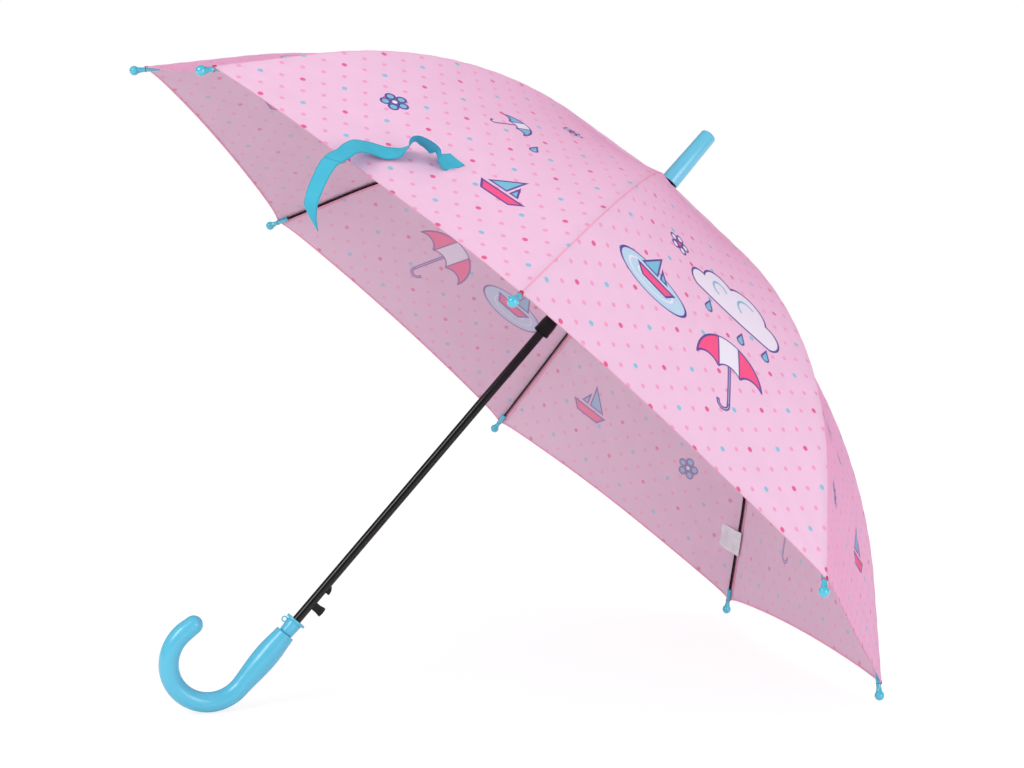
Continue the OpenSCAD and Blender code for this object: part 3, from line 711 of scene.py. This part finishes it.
def make_gore(k):
    v = np.linspace(-1, 1, COLUMNS + 1)
    v = np.sign(v) * (1 - (1 - np.abs(v)) ** 1.25)
    t = np.linspace(0, 1, ROWS + 1) ** 0.92
    V, T = np.meshgrid(v, t)
    S = INNER_EDGE + (hem_at(V) - INNER_EDGE) * T
    made = cloth_piece(f"printed_gore_{k}", k, S, V, (0, CLOTH_T), outside[k], [f"gore_{k}"])
    made.data.materials.append(lining[k].material)
    skin, count = ROWS * COLUMNS, len(made.data.polygons)
    made.data.polygons.foreach_set("material_index", [0] * skin + [1] * skin + [0] * (count - 2 * skin))
    # Towards the hem the rows of dots follow its curve, as cloth does that is pulled taut there.
    down = S + PRINT_SAG * (1 - V * V) * np.clip((S - PRINT_BENDS_AT) / PRINT_BENDS_OVER, 0, 1) ** 2
    for name, aside in (("cloth", V * half_width(S)), ("seam", (1 - np.abs(V)) * half_width(S))):
        unroll(made, name, np.tile(np.stack([aside, down], -1).reshape(-1, 2), (2, 1)))
    return made


gores = {k: make_gore(k) for k in RIBS}
print("one gore has", len(gores[1].data.polygons), "faces")


# %% Hems and seam allowances
HEM_T, SEAM_T = 0.35, 0.3


def make_hem(k):
    v, depth = np.meshgrid(np.linspace(-0.985, 0.985, 61), np.linspace(0, 1, 4), indexing="ij")
    s = hem_at(v) + 0.2 - 1.6 * depth
    bulge = CLOTH_T + 0.02 + 0.12 * np.sin(np.pi * depth)
    return cloth_piece(f"rolled_hem_{k}", k, s, v, (bulge, bulge + HEM_T), hem_cloth)


def make_allowance(k):
    s, depth = np.meshgrid(np.linspace(10, RIB_LEN - 3, 90), np.linspace(0, 1, 4), indexing="ij")
    width = 5 + 0.35 * np.sin(s / 9 + k) + 0.2 * np.sin(s / 3.7)
    v = -1 + (0.35 + width * depth) / half_width(s)
    under = CLOTH_T + 0.05 + 0.25 * depth
    return cloth_piece(f"seam_allowance_{k}", k, s, v, (under, under + SEAM_T), seam_cloth)


hems = {k: make_hem(k) for k in RIBS}
allowances = {k: make_allowance(k) for k in RIBS}
print("a hem has", len(hems[1].data.polygons), "faces, an allowance", len(allowances[1].data.polygons))

# %% The cloth that a gore is cut from
STEP, HEM_CUT = 2.0, 0.95
stops = np.arange(0, RIB_LEN, STEP)
middle_line = np.array(rib_line(stops, CLOTH_RISE)) * [[math.cos(HALF_GORE)], [1]]
gore_flat = (2 * float(half_width(RIB_LEN)) * MM, float(sum(np.hypot(*np.diff(middle_line)))) * MM)
gore_area = float(np.sum(2 * STEP * half_width(stops))) * HEM_CUT * MM * MM
print("a gore is cut from", [round(c * 1000) for c in gore_flat], "mm of cloth")

# %% [markdown]
# ## Moulded plastic
# The handle, its collar and the ferrule are injection moulded in turquoise: smooth, with a soft
# gloss and the faintest orange peel. The ball tips are a brighter glossy blue. The runner, the
# button and the catch are satin black.


# %% Plastic and metal finishes
def moulded(name, colour, roughness, coat=0.0, peel=0.006, scale=0.35, shine=0.5, soft=0.2):
    """Moulded plastic: even colour, slight mottling of the gloss, and a soft orange peel."""
    plastic = Finish(name, Specular_IOR_Level=shine, Coat_Weight=coat, Coat_Roughness=soft)
    where = plastic.place()
    cloudy = plastic.noise(where, 0.08)
    plastic.set("Base Color", plastic.blend(cloudy, shaded(colour, 0.94), colour))
    plastic.set("Roughness", roughness + 0.1 * (plastic.noise(where, 0.25) - 0.5))
    plastic.emboss(plastic.noise(where, scale, 2), peel)
    return plastic


def lacquered(name, colour, roughness):
    """Black lacquer on steel: gloss with fine dust and rubbed spots."""
    metal = Finish(name, Specular_IOR_Level=0.12, Coat_Weight=0.65, Coat_Roughness=0.2)
    where = metal.place()
    dust = metal.noise(where, 0.6, 4)
    metal.set("Base Color", metal.blend(dust, colour, shaded(colour, 1.5)))
    metal.set("Roughness", roughness + 0.12 * metal.noise(where, 0.1))
    metal.emboss(metal.noise(where, 0.3, 2), 0.001)
    return metal


def drawn_wire(name, colour, roughness):
    """Bright zinc on drawn wire, with fine lengthwise lines."""
    metal = Finish(name, Metallic=1.0)
    where = metal.place()
    lines = metal.noise(where, 3.0, 4, stretch=(1, 1, 0.15))
    metal.set("Base Color", metal.blend(lines, shaded(colour, 0.75), colour))
    metal.set("Roughness", roughness + 0.2 * lines)
    metal.emboss(lines, 0.01)
    return metal


turquoise = moulded("turquoise plastic", ink(86, 188, 219), 0.24, coat=0.5)
turquoise_silk = moulded("turquoise ferrule plastic", ink(88, 189, 221), 0.36, 1.0, 0.0005, shine=1.0, soft=0.33)
tip_blue = moulded("glossy tip plastic", ink(64, 182, 208), 0.18, 1.0, 0.004, shine=0.8)
satin_black = moulded("satin black plastic", ink(20, 19, 22), 0.34, peel=0.03, scale=1.2, shine=0.25)
gloss_black = lacquered("gloss black lacquer", ink(8, 8, 9), 0.1)
bright_steel = drawn_wire("bright drawn wire", (0.6, 0.6, 0.62, 1), 0.28)
print("finishes so far", len(bpy.data.materials))

# %% [markdown]
# ## Handle, collar and ferrule
# The grip swells from the collar and runs on into a crook that turns half a circle. It is one
# moulding, so it is one tube whose radius changes along its line, ending in a dome. The collar
# and the ferrule are turned profiles with eased corners.

# %% Line of the handle
HANDLE_AT, COLLAR_LEN, GRIP_LEN, CROOK_R, CROOK_TUBE = 498.7, 14.6, 58.5, 34.5, 8.5
CROOK_TURN, CROOK_END = 192, 16.5
GRIP_TOP, GRIP_SWELL, WIDEST, LIP = 8.8, 10.7, 0.42, 0.6
grip_top = HANDLE_AT + COLLAR_LEN
crook_top = grip_top + GRIP_LEN


def grip_radius(u):
    low = np.where(u < WIDEST, GRIP_TOP, CROOK_TUBE)
    x = np.abs(u - WIDEST) / np.where(u < WIDEST, WIDEST, 1 - WIDEST)
    return low + (GRIP_SWELL - low) * np.cos(np.clip(x, 0, 1) * np.pi / 2) ** 1.4


u = np.linspace(0, 1, 46)
grip = np.stack([0 * u, 0 * u, -grip_top - LIP - (GRIP_LEN - LIP) * u], 1)
turn = np.radians(np.linspace(0, CROOK_TURN, 65))[1:]
crook = np.stack([-CROOK_R + CROOK_R * np.cos(turn), 0 * turn, -crook_top - CROOK_R * np.sin(turn)], 1)
round_way = np.stack([-np.sin(turn), 0 * turn, -np.cos(turn)], 1)
end_r = CROOK_TUBE * 0.94
tail_u = np.linspace(0, 1, 8)[1:]
tail = crook[-1] + np.outer((CROOK_END - end_r) * tail_u, round_way[-1])
dome = np.radians(np.linspace(0, 88, 12))[1:]
cap = tail[-1] + np.outer(end_r * np.sin(dome), round_way[-1])
top_lip = np.array([[0, 0, -grip_top - z] for z in (0, 0, 0.1, 0.3)])
line = np.vstack([top_lip, grip, crook, tail, cap])
radii = np.concatenate([[4.2, 8.0, 8.45, 8.68], grip_radius(u), np.full(len(crook), CROOK_TUBE),
    CROOK_TUBE + (end_r - CROOK_TUBE) * tail_u, end_r * np.cos(dome)])
along = np.vstack([[[0, 0, -1]] * (4 + len(grip)), round_way, [round_way[-1]] * (len(tail) + len(cap))])
print("handle runs through", len(line), "rings")

# %% Handle
rings, faces = tube(line, radii, 56, along=along)
piece("crook_handle", rings, faces, turquoise, "root", "turquoise_plastic", ["handle"])
print("handle has", len(faces), "faces")

# %% Collar
FLANGE_R, FLANGE_T, COLLAR_R, SHAFT_R, BORE_GAP = 9.15, 2.2, 6.8, 4.0, 0.06
flange_end = HANDLE_AT + FLANGE_T
down_shaft, up_shaft = (Matrix.Rotation(math.radians(a), 4, "Y") for a in (90, -90))
collar = turned(eased([(HANDLE_AT, SHAFT_R + BORE_GAP), (HANDLE_AT, FLANGE_R), (flange_end, FLANGE_R),
    (flange_end, COLLAR_R + 0.35), (flange_end + 1, COLLAR_R), (grip_top - 1, COLLAR_R - 0.5),
    (grip_top, COLLAR_R - 1.2), (grip_top, SHAFT_R + 0.1)], 0.7), down_shaft, 64)
piece("handle_collar_moulding", *collar, turquoise, "root", "turquoise_plastic", ["handle_collar"])
print("flange", 2 * FLANGE_R, "mm across")

# %% Lanyard eye
LOOP_R, LOOP_WIRE, LOOP_DEPTH, LOOP_TURNS, LOOP_SIDES = 2.2, 0.6, 0.8, 40, 10
loop_at = np.array([-COLLAR_R - 2.1, 0, -flange_end - 3.5])
round_eye, round_wire = np.meshgrid(full_turn(LOOP_TURNS), full_turn(LOOP_SIDES), indexing="ij")
reach = LOOP_R + LOOP_WIRE * np.cos(round_wire)
loop = np.stack([reach * np.cos(round_eye), LOOP_DEPTH * np.sin(round_wire), reach * np.sin(round_eye)], -1)
last = (LOOP_TURNS - 1) * LOOP_SIDES
closing = [[last + j, last + (j + 1) % LOOP_SIDES, (j + 1) % LOOP_SIDES, j] for j in range(LOOP_SIDES)]
faces = np.vstack([quads(LOOP_TURNS, LOOP_SIDES, closed=True), closing])[:, ::-1]
piece("lanyard_eye", loop_at + loop.reshape(-1, 3), faces, turquoise, "root", "turquoise_plastic")
print("eye takes a cord of", round(2 * (LOOP_R - LOOP_WIRE), 1), "mm")

# %% Ferrule
FERRULE_LEN, FERRULE_R, FERRULE_END_R, DOME, FOOT = 54.5, 8.3, 7.1, 2.4, -2.2
dome_r = (FERRULE_END_R ** 2 + DOME ** 2) / (2 * DOME)
arc = [math.asin(FERRULE_END_R / dome_r) * (1 - i / 9) * 0.86 for i in range(9)]
side_line = eased([(FOOT, SHAFT_R + BORE_GAP), (FOOT, FERRULE_R), (FOOT + 1.2, FERRULE_R),
    (FERRULE_LEN - DOME - 0.6, FERRULE_END_R)], 0.5)
dome_line = [(FERRULE_LEN - dome_r * (1 - math.cos(a)), dome_r * math.sin(a)) for a in arc]
ferrule = turned([*side_line, *dome_line, (FERRULE_LEN, 0.2)], up_shaft, 64)
piece("ferrule_moulding", *ferrule, turquoise_silk, "root", "turquoise_plastic", ["ferrule"])
print("ferrule is", FERRULE_LEN, "mm long")

# %% The runner's skirt
skirt_line = [(169.5, 6.93), (169.6, 6.98), (173, 6.98), (176.2, 7.35), (176.8, 7.1), (176.6, 6.6), (171.7, 6.3),
    (171.7, 5.6), (171.6, 5.6), (171.55, 6.91), (169.55, 6.91)]
piece("runner_skirt", *turned(eased(skirt_line, 0.2), down_shaft, 56), satin_black, "runner", "black_plastic")
print("skirt reaches", max(skirt_line)[0], "mm below the crown")

# %% [markdown]
# ## Ribs
# A rib is a strip of steel folded into a channel, open towards the shaft, which is light and
# stiff. Its inner end is pinched into a flat tab with a round eye for the wire of the crown, and
# its outer end into a pin for the tip. One section is carried along the rib's line and changes
# shape on the way, so the folds stay crisp and the bend stays smooth.

# %% Ribs
RIB_W, RIB_H, WALL, TAB, EYE_R, PIN_R, PIN_LEN = 1.9, 1.9, 0.35, 0.6, 1.44, 0.85, 10


def rib_section(s):
    """Half width, half height and depth of the channel at distance s."""
    pinch = float(np.clip((s - 8) / 3, 0, 1) * np.clip((RIB_LEN - PIN_LEN - s) / 3, 0, 1))
    end = TAB if s < RIB_LEN / 2 else PIN_R
    half_h = RIB_H / 2 if pinch > 0 or s > 0 else math.sqrt(max(EYE_R ** 2 - s * s, 0.01))
    if s > RIB_LEN - PIN_LEN:
        half_h = PIN_R
    elif 0 <= s < 1:
        half_h = EYE_R + (RIB_H / 2 - EYE_R) * s
    return end + (RIB_W / 2 - end) * pinch, half_h, (RIB_H - WALL) * pinch + 0.04


def make_rib(k):
    stops = [*np.linspace(-EYE_R + 0.02, 0, 8), 1, 8, 9.5, 11, *np.linspace(16, RIB_LEN - PIN_LEN - 4, 96),
        *(RIB_LEN - PIN_LEN + c for c in (-3, -1.5, 0, 0.1, 3))]
    points = []
    for s in stops:
        w, h, depth = rib_section(s)
        inner = max(w - WALL, 0.2)
        fold = [(w - 0.35, h), (w - 0.1, h - 0.1), (w, h - 0.35), (w, -h)]
        outline = [*[(-side, up) for side, up in fold[::-1]], *fold,
            (inner, -h), (inner, -h + depth), (-inner, -h + depth), (-inner, -h)]
        (r, z), a = rib_line(s), float(rib_angle(s))
        points += [(r + up * math.sin(a), side, z + up * math.cos(a)) for side, up in outline]
    faces = ring_faces(len(stops), len(outline), flip=False)
    points = placed(points, Matrix.Rotation(rib_turn(k), 4, "Z"))
    piece(f"steel_rib_{k}", points, faces, gloss_black, f"rib_{k}", "gloss_black", [f"rib_{k}"])


for k in RIBS:
    make_rib(k)
print("ribs of", RIB_W, "by", RIB_H, "mm")

# %% [markdown]
# ## Rib tips
# The end of each rib is a thin pin in a turquoise sleeve inside the canopy. The sleeve narrows to
# a neck where the hem crosses it and ends in a ball. A few turns of dark pink thread tack the
# corner of the cloth to the neck.

# %% Ball tips and their stitches
BALL_R, TIP_REACH, NECK_R, SLEEVE_R = 4.15, 12.6, 2.1, 2.3
swell = math.asin(NECK_R * 1.3 / BALL_R)
ball = [(TIP_REACH - BALL_R * math.cos(a), BALL_R * math.sin(a)) for a in np.linspace(swell, math.pi - 0.04, 22)]
sleeve = eased([(-9.5, 0.95), (-9.5, SLEEVE_R), (0.2, SLEEVE_R), (1.4, NECK_R), (5.2, NECK_R),
    (8.2, NECK_R * 1.15)], 0.6)[:-1]
for k in RIBS:
    tip = turned([*sleeve, *ball], at_rib(k, RIB_LEN), 36)
    piece(f"ball_tip_{k}", *tip, tip_blue, f"rib_{k}", "tip_plastic", [f"rib_tip_{k}"])
print("tips reach", TIP_REACH + BALL_R, "mm past the hem")

# %% Stitches at the tips
WOUND_R, BARS = NECK_R + 0.12, 7
angle = np.linspace(0, 4 * math.pi, 60)
wound = np.stack([2.1 + angle * 0.055, WOUND_R * np.cos(angle), WOUND_R * np.sin(angle)], 1)
strands = [tube(wound, np.full(len(wound), 0.18), 8, (1, 0, 0))]
for y in np.linspace(-1.5, 1.5, BARS):
    bar = curve_through([(3.3, y * 0.6, 1.9), (2.6, y * 0.8, 2.6), (1.4, y, 2.95 - 0.35 * abs(y)),
        (0, y * 0.7, 2.6 - 0.4 * abs(y))], 5)
    strands.append(tube(bar, np.full(len(bar), 0.2), 8))
tack_points, tack_faces, count = np.vstack([points for points, _ in strands]), [], 0
for points, faces in strands:
    tack_faces += [[i + count for i in face] for face in faces]
    count += len(points)
for k in RIBS:
    points = placed(tack_points, at_rib(k, RIB_LEN))
    piece(f"corner_stitch_{k}", points, tack_faces, thread, f"rib_{k}", "canopy_cloth")
print("each tack has", BARS, "bars of thread")

# %% [markdown]
# ## The opening spring
# A coil between the crown and the runner pulls the runner up when the button is pressed. As a
# tube round a helix it stays round from every side.

# %% Opening spring
RIVET_AT, RUNNER_LIP, CROWN_FOOT, END_GAP = 207, 3.2, 6.4 * 0.56, 0.7
SPRING_TURNS, COIL_R, WIRE_R, WIRE_SIDES = 18, 4.85, 0.4, 10
runner_at = 2 * float(rib_line(RIVET_AT)[1]) + PIVOT_DROP
low, high = runner_at + RUNNER_LIP + END_GAP, -PIVOT_DROP - CROWN_FOOT - END_GAP
steps = SPRING_TURNS * 28
angle = np.linspace(0, 2 * math.pi * SPRING_TURNS, steps)
height = low + (high - low) * np.linspace(0, 1, steps)
coil = np.stack([COIL_R * np.cos(angle), COIL_R * np.sin(angle), height], 1)
wire = tube(coil, np.full(steps, WIRE_R), WIRE_SIDES, (0, 0, 1))
spring = piece("opening_coil", *wire, bright_steel, slot="bare_steel", stands_for=["opening_spring"])
tie_between(spring, np.repeat((high - height) / (high - low), WIRE_SIDES))
print("spring of", SPRING_TURNS, "turns")

# %% [markdown]
# ## Steel, lacquer and black mouldings from the rigid model
# The shaft, stretchers, wires, runner and release keep the shape they were built with. A weld and
# a narrow bevel ease the sharp edges of the black mouldings, so that they catch the light.

# %% Finish the rigid pieces
def finish_node(name, finish, bevel=0.0):
    node = frame["nodes"][name]
    node.data.materials.clear()
    node.data.materials.append(finish.material)
    if bevel:
        weld = node.modifiers.new("weld", "WELD")
        weld.merge_threshold = 0.000002
        ease = node.modifiers.new("eased edges", "BEVEL")
        ease.width, ease.segments, ease.limit_method = bevel * MM, 2, "ANGLE"
        ease.angle_limit, ease.harden_normals = math.radians(40), False


for name in ("runner", "crown_notch", "release_button", "catch_hook", "top_washer"):
    finish_node(name, satin_black, 0.2)
for name in ("shaft", *[f"stretcher_{k}" for k in RIBS]):
    finish_node(name, gloss_black)
for name in ("crown_wire", "runner_wire", "latch_spring", *[f"rivet_{k}" for k in RIBS]):
    finish_node(name, bright_steel)
print("finished", sum(1 for n in frame["nodes"].values() if not n.hide_render), "rigid pieces")

# %% [markdown]
# ## Closing strap
# The strap is a length of turquoise tape sewn to one gore. It lies over the cloth with a twist,
# arches twice, creases at the hem and hangs down. Its line and the direction across the tape are
# given at a few places, and a smooth curve runs through them.

# %% Tape
STRAP_GORE, STRAP_W, STRAP_T, SELVEDGE_AND_SHADE, CREASE_AT = 3, 16, 0.7, 1.1, 124
tape = Finish("turquoise tape", Roughness=0.6, Specular_IOR_Level=0.25)
tape_map = tape.on_map("tape")
across_tape, along_tape = tape.xy(tape_map)
slack = weave(tape, tape_map, 0.9, 0.05)
# The tape's edge bands are darker: partly its woven selvedge, partly painted shade along the edges.
selvedge_and_edge_shade = (STRAP_W / 2 - SELVEDGE_AND_SHADE - abs(across_tape)).step(-2)
# A darker line across the tape is painted shade in its crease.
crease_shade = (abs(along_tape - CREASE_AT) - 0.6).step(-2)
woven = tape.blend(slack, ink(54, 164, 192), ink(66, 182, 208))
tape.set("Base Color", tape.blend(selvedge_and_edge_shade.maths("MAXIMUM", crease_shade) * 0.4, woven, ink(28, 120, 152)))
print("tape", STRAP_W, "mm wide with a crease", CREASE_AT, "mm along")

# %% Line of the strap
# Across the gore, along it from the hem's corner and out from it, then the way the width points.
strap_stations = [
    # Sewn down flat, then turned up on its edge.
    (-17, -85, 0.5, 1, -0.1, 0), (-16, -71, 2, 0.8, -0.6, 0.2),
    (-13, -66, 6, 0.7, -0.7, -0.2), (-11, -65, 10.5, 0.3, -0.4, -0.9),
    # An arch, and down on the cloth again.
    (-2, -60, 15, 0.4, -0.4, -0.8), (4, -56, 13.5, 0.4, -0.4, -0.8), (6, -52.5, 7, 0.6, -0.7, -0.4),
    (9, -47, 2.6, 0.7, -0.7, -0.1), (15, -37, 1.8, 0.7, -0.7, 0), (20.5, -24, 5, 0.7, -0.7, -0.1),
    # A low arch over the hem.
    (21.5, -12.5, 7, 0.75, -0.6, -0.1), (20, 1, 6, 0.8, -0.5, -0.1), (18, 16, 4, 0.9, -0.35, -0.1),
    # The free end hangs down.
    (13.5, 28, -2, 0.95, -0.2, -0.25), (9, 37, -9, 0.95, -0.2, -0.25), (6, 42, -16, 0.95, -0.2, -0.25),
    (2, 44.5, -24, 0.95, -0.2, -0.25), (-2, 44.5, -32, 0.95, -0.2, -0.25)]
SAG_FROM, SAG_OVER = 5, 35
route = curve_through(strap_stations, 7)


def gore_frame(s, w):
    """A point of the cloth and the directions across, along and out of its gore."""
    near = on_gore(STRAP_GORE, np.array([s - 0.5, s + 0.5]), np.array([w, w]))
    side = on_gore(STRAP_GORE, np.array([s, s]), np.array([w, w + 1]))
    along_gore, across_gore = near[1] - near[0], side[1] - side[0]
    along_gore = along_gore / np.linalg.norm(along_gore)
    return side[0], across_gore, along_gore, np.cross(across_gore, along_gore)


centres, sides = [], []
for w, past, h, *way in route:
    s = RIB_LEN + min(past, 0)
    origin, x, y, z = gore_frame(s, w)
    sag = relief(STRAP_GORE, s, w / half_width(s)) * min(1, max(0, -past - SAG_FROM) / SAG_OVER)
    centres.append(origin + y * max(past, 0) + z * (h + sag))
    sides.append(way[0] * x + way[1] * y + way[2] * z)
centres, sides = np.array(centres), np.array(sides)
along_strap = np.gradient(centres, axis=0)
along_strap /= np.linalg.norm(along_strap, axis=1)[:, None]
sides -= (sides * along_strap).sum(1)[:, None] * along_strap
sides /= np.linalg.norm(sides, axis=1)[:, None]
outward = np.cross(sides, along_strap)
run = np.concatenate([[0], np.cumsum(np.linalg.norm(np.diff(centres, axis=0), axis=1))])
print("strap is", round(run[-1]), "mm long")

# %% Strap mesh
ACROSS_TAPE, POINTED = 13, 17
column = np.linspace(-1, 1, ACROSS_TAPE)
cut = np.clip((run[-1] - run) / POINTED, 0.02, 1)[:, None]
edge = -1 + (column[None] + 1) * cut
curl = 0.35 * np.cos(run / 11)[:, None] * edge ** 2
layers = []
for face in (0.5, -0.5):
    thick = STRAP_T * face * (1 - 0.55 * np.abs(column) ** 8)
    height = curl + thick[None]
    flat_row = centres[:, None] + sides[:, None] * (edge * STRAP_W / 2)[..., None]
    layers.append((flat_row + outward[:, None] * height[..., None]).reshape(-1, 3))
faces = sheet_faces(len(route), ACROSS_TAPE)
strap = piece("closing_tape", np.vstack(layers), faces, tape, slot="strap_tape", stands_for=["closing_strap"])
chart = np.stack([edge * STRAP_W / 2, np.broadcast_to(run[:, None], edge.shape)], -1).reshape(-1, 2)
unroll(strap, "tape", np.tile(chart, (2, 1)))
tie_between(strap, 0.5)
print("tape has", len(faces), "faces")

# %% [markdown]
# ## Care label
# A small white satin label, left plain, is sewn into the seam beside one rib and hangs inside.

# %% Care label
label_cloth = plain_cloth("white satin", ink(246, 243, 248), 0.35)
sheer = label_cloth.noise(label_cloth.place(), 0.12)
label_cloth.set("Alpha", 0.72 + 0.4 * (sheer - 0.5))
LABEL_AT, LABEL_LEN, LABEL_W, LABEL_T = 396, 25, 25, 0.22
a, b = np.meshgrid(np.linspace(0, 1, 26), np.linspace(0, 1, 24), indexing="ij")
y = (-6.5 + LABEL_W * b) * (1 + 0.05 * np.sin(9 * a) * b)
wave = 0.5 * np.sin(5 * a + 2 * b) * b + 0.3 * np.sin(11 * b + 2 * a)
rest_on_rib = -RIB_H / 2 - 0.75
follow = rest_on_rib - 0.22 * (np.sqrt(y ** 2 + 4) - 2) + wave * np.clip(np.abs(y) / 6, 0, 1)
x = LABEL_LEN * (a - 0.5) * (1 - 0.08 * b) + 0.8 * np.sin(4 * b)
skins = np.vstack([np.stack([x, y, follow - t], -1).reshape(-1, 3) for t in (0, LABEL_T)])
points = placed(skins, at_rib(8, LABEL_AT + LABEL_LEN / 2))
label = piece("care_label_satin", points, sheet_faces(*a.shape), label_cloth, "rib_8", "label_cloth", ["care_label"])
print("label", LABEL_W, "by", LABEL_LEN, "mm")

# %% [markdown]
# ## Scene update
# The view layer is brought up to date.

# %% Finish
bpy.context.view_layer.update()
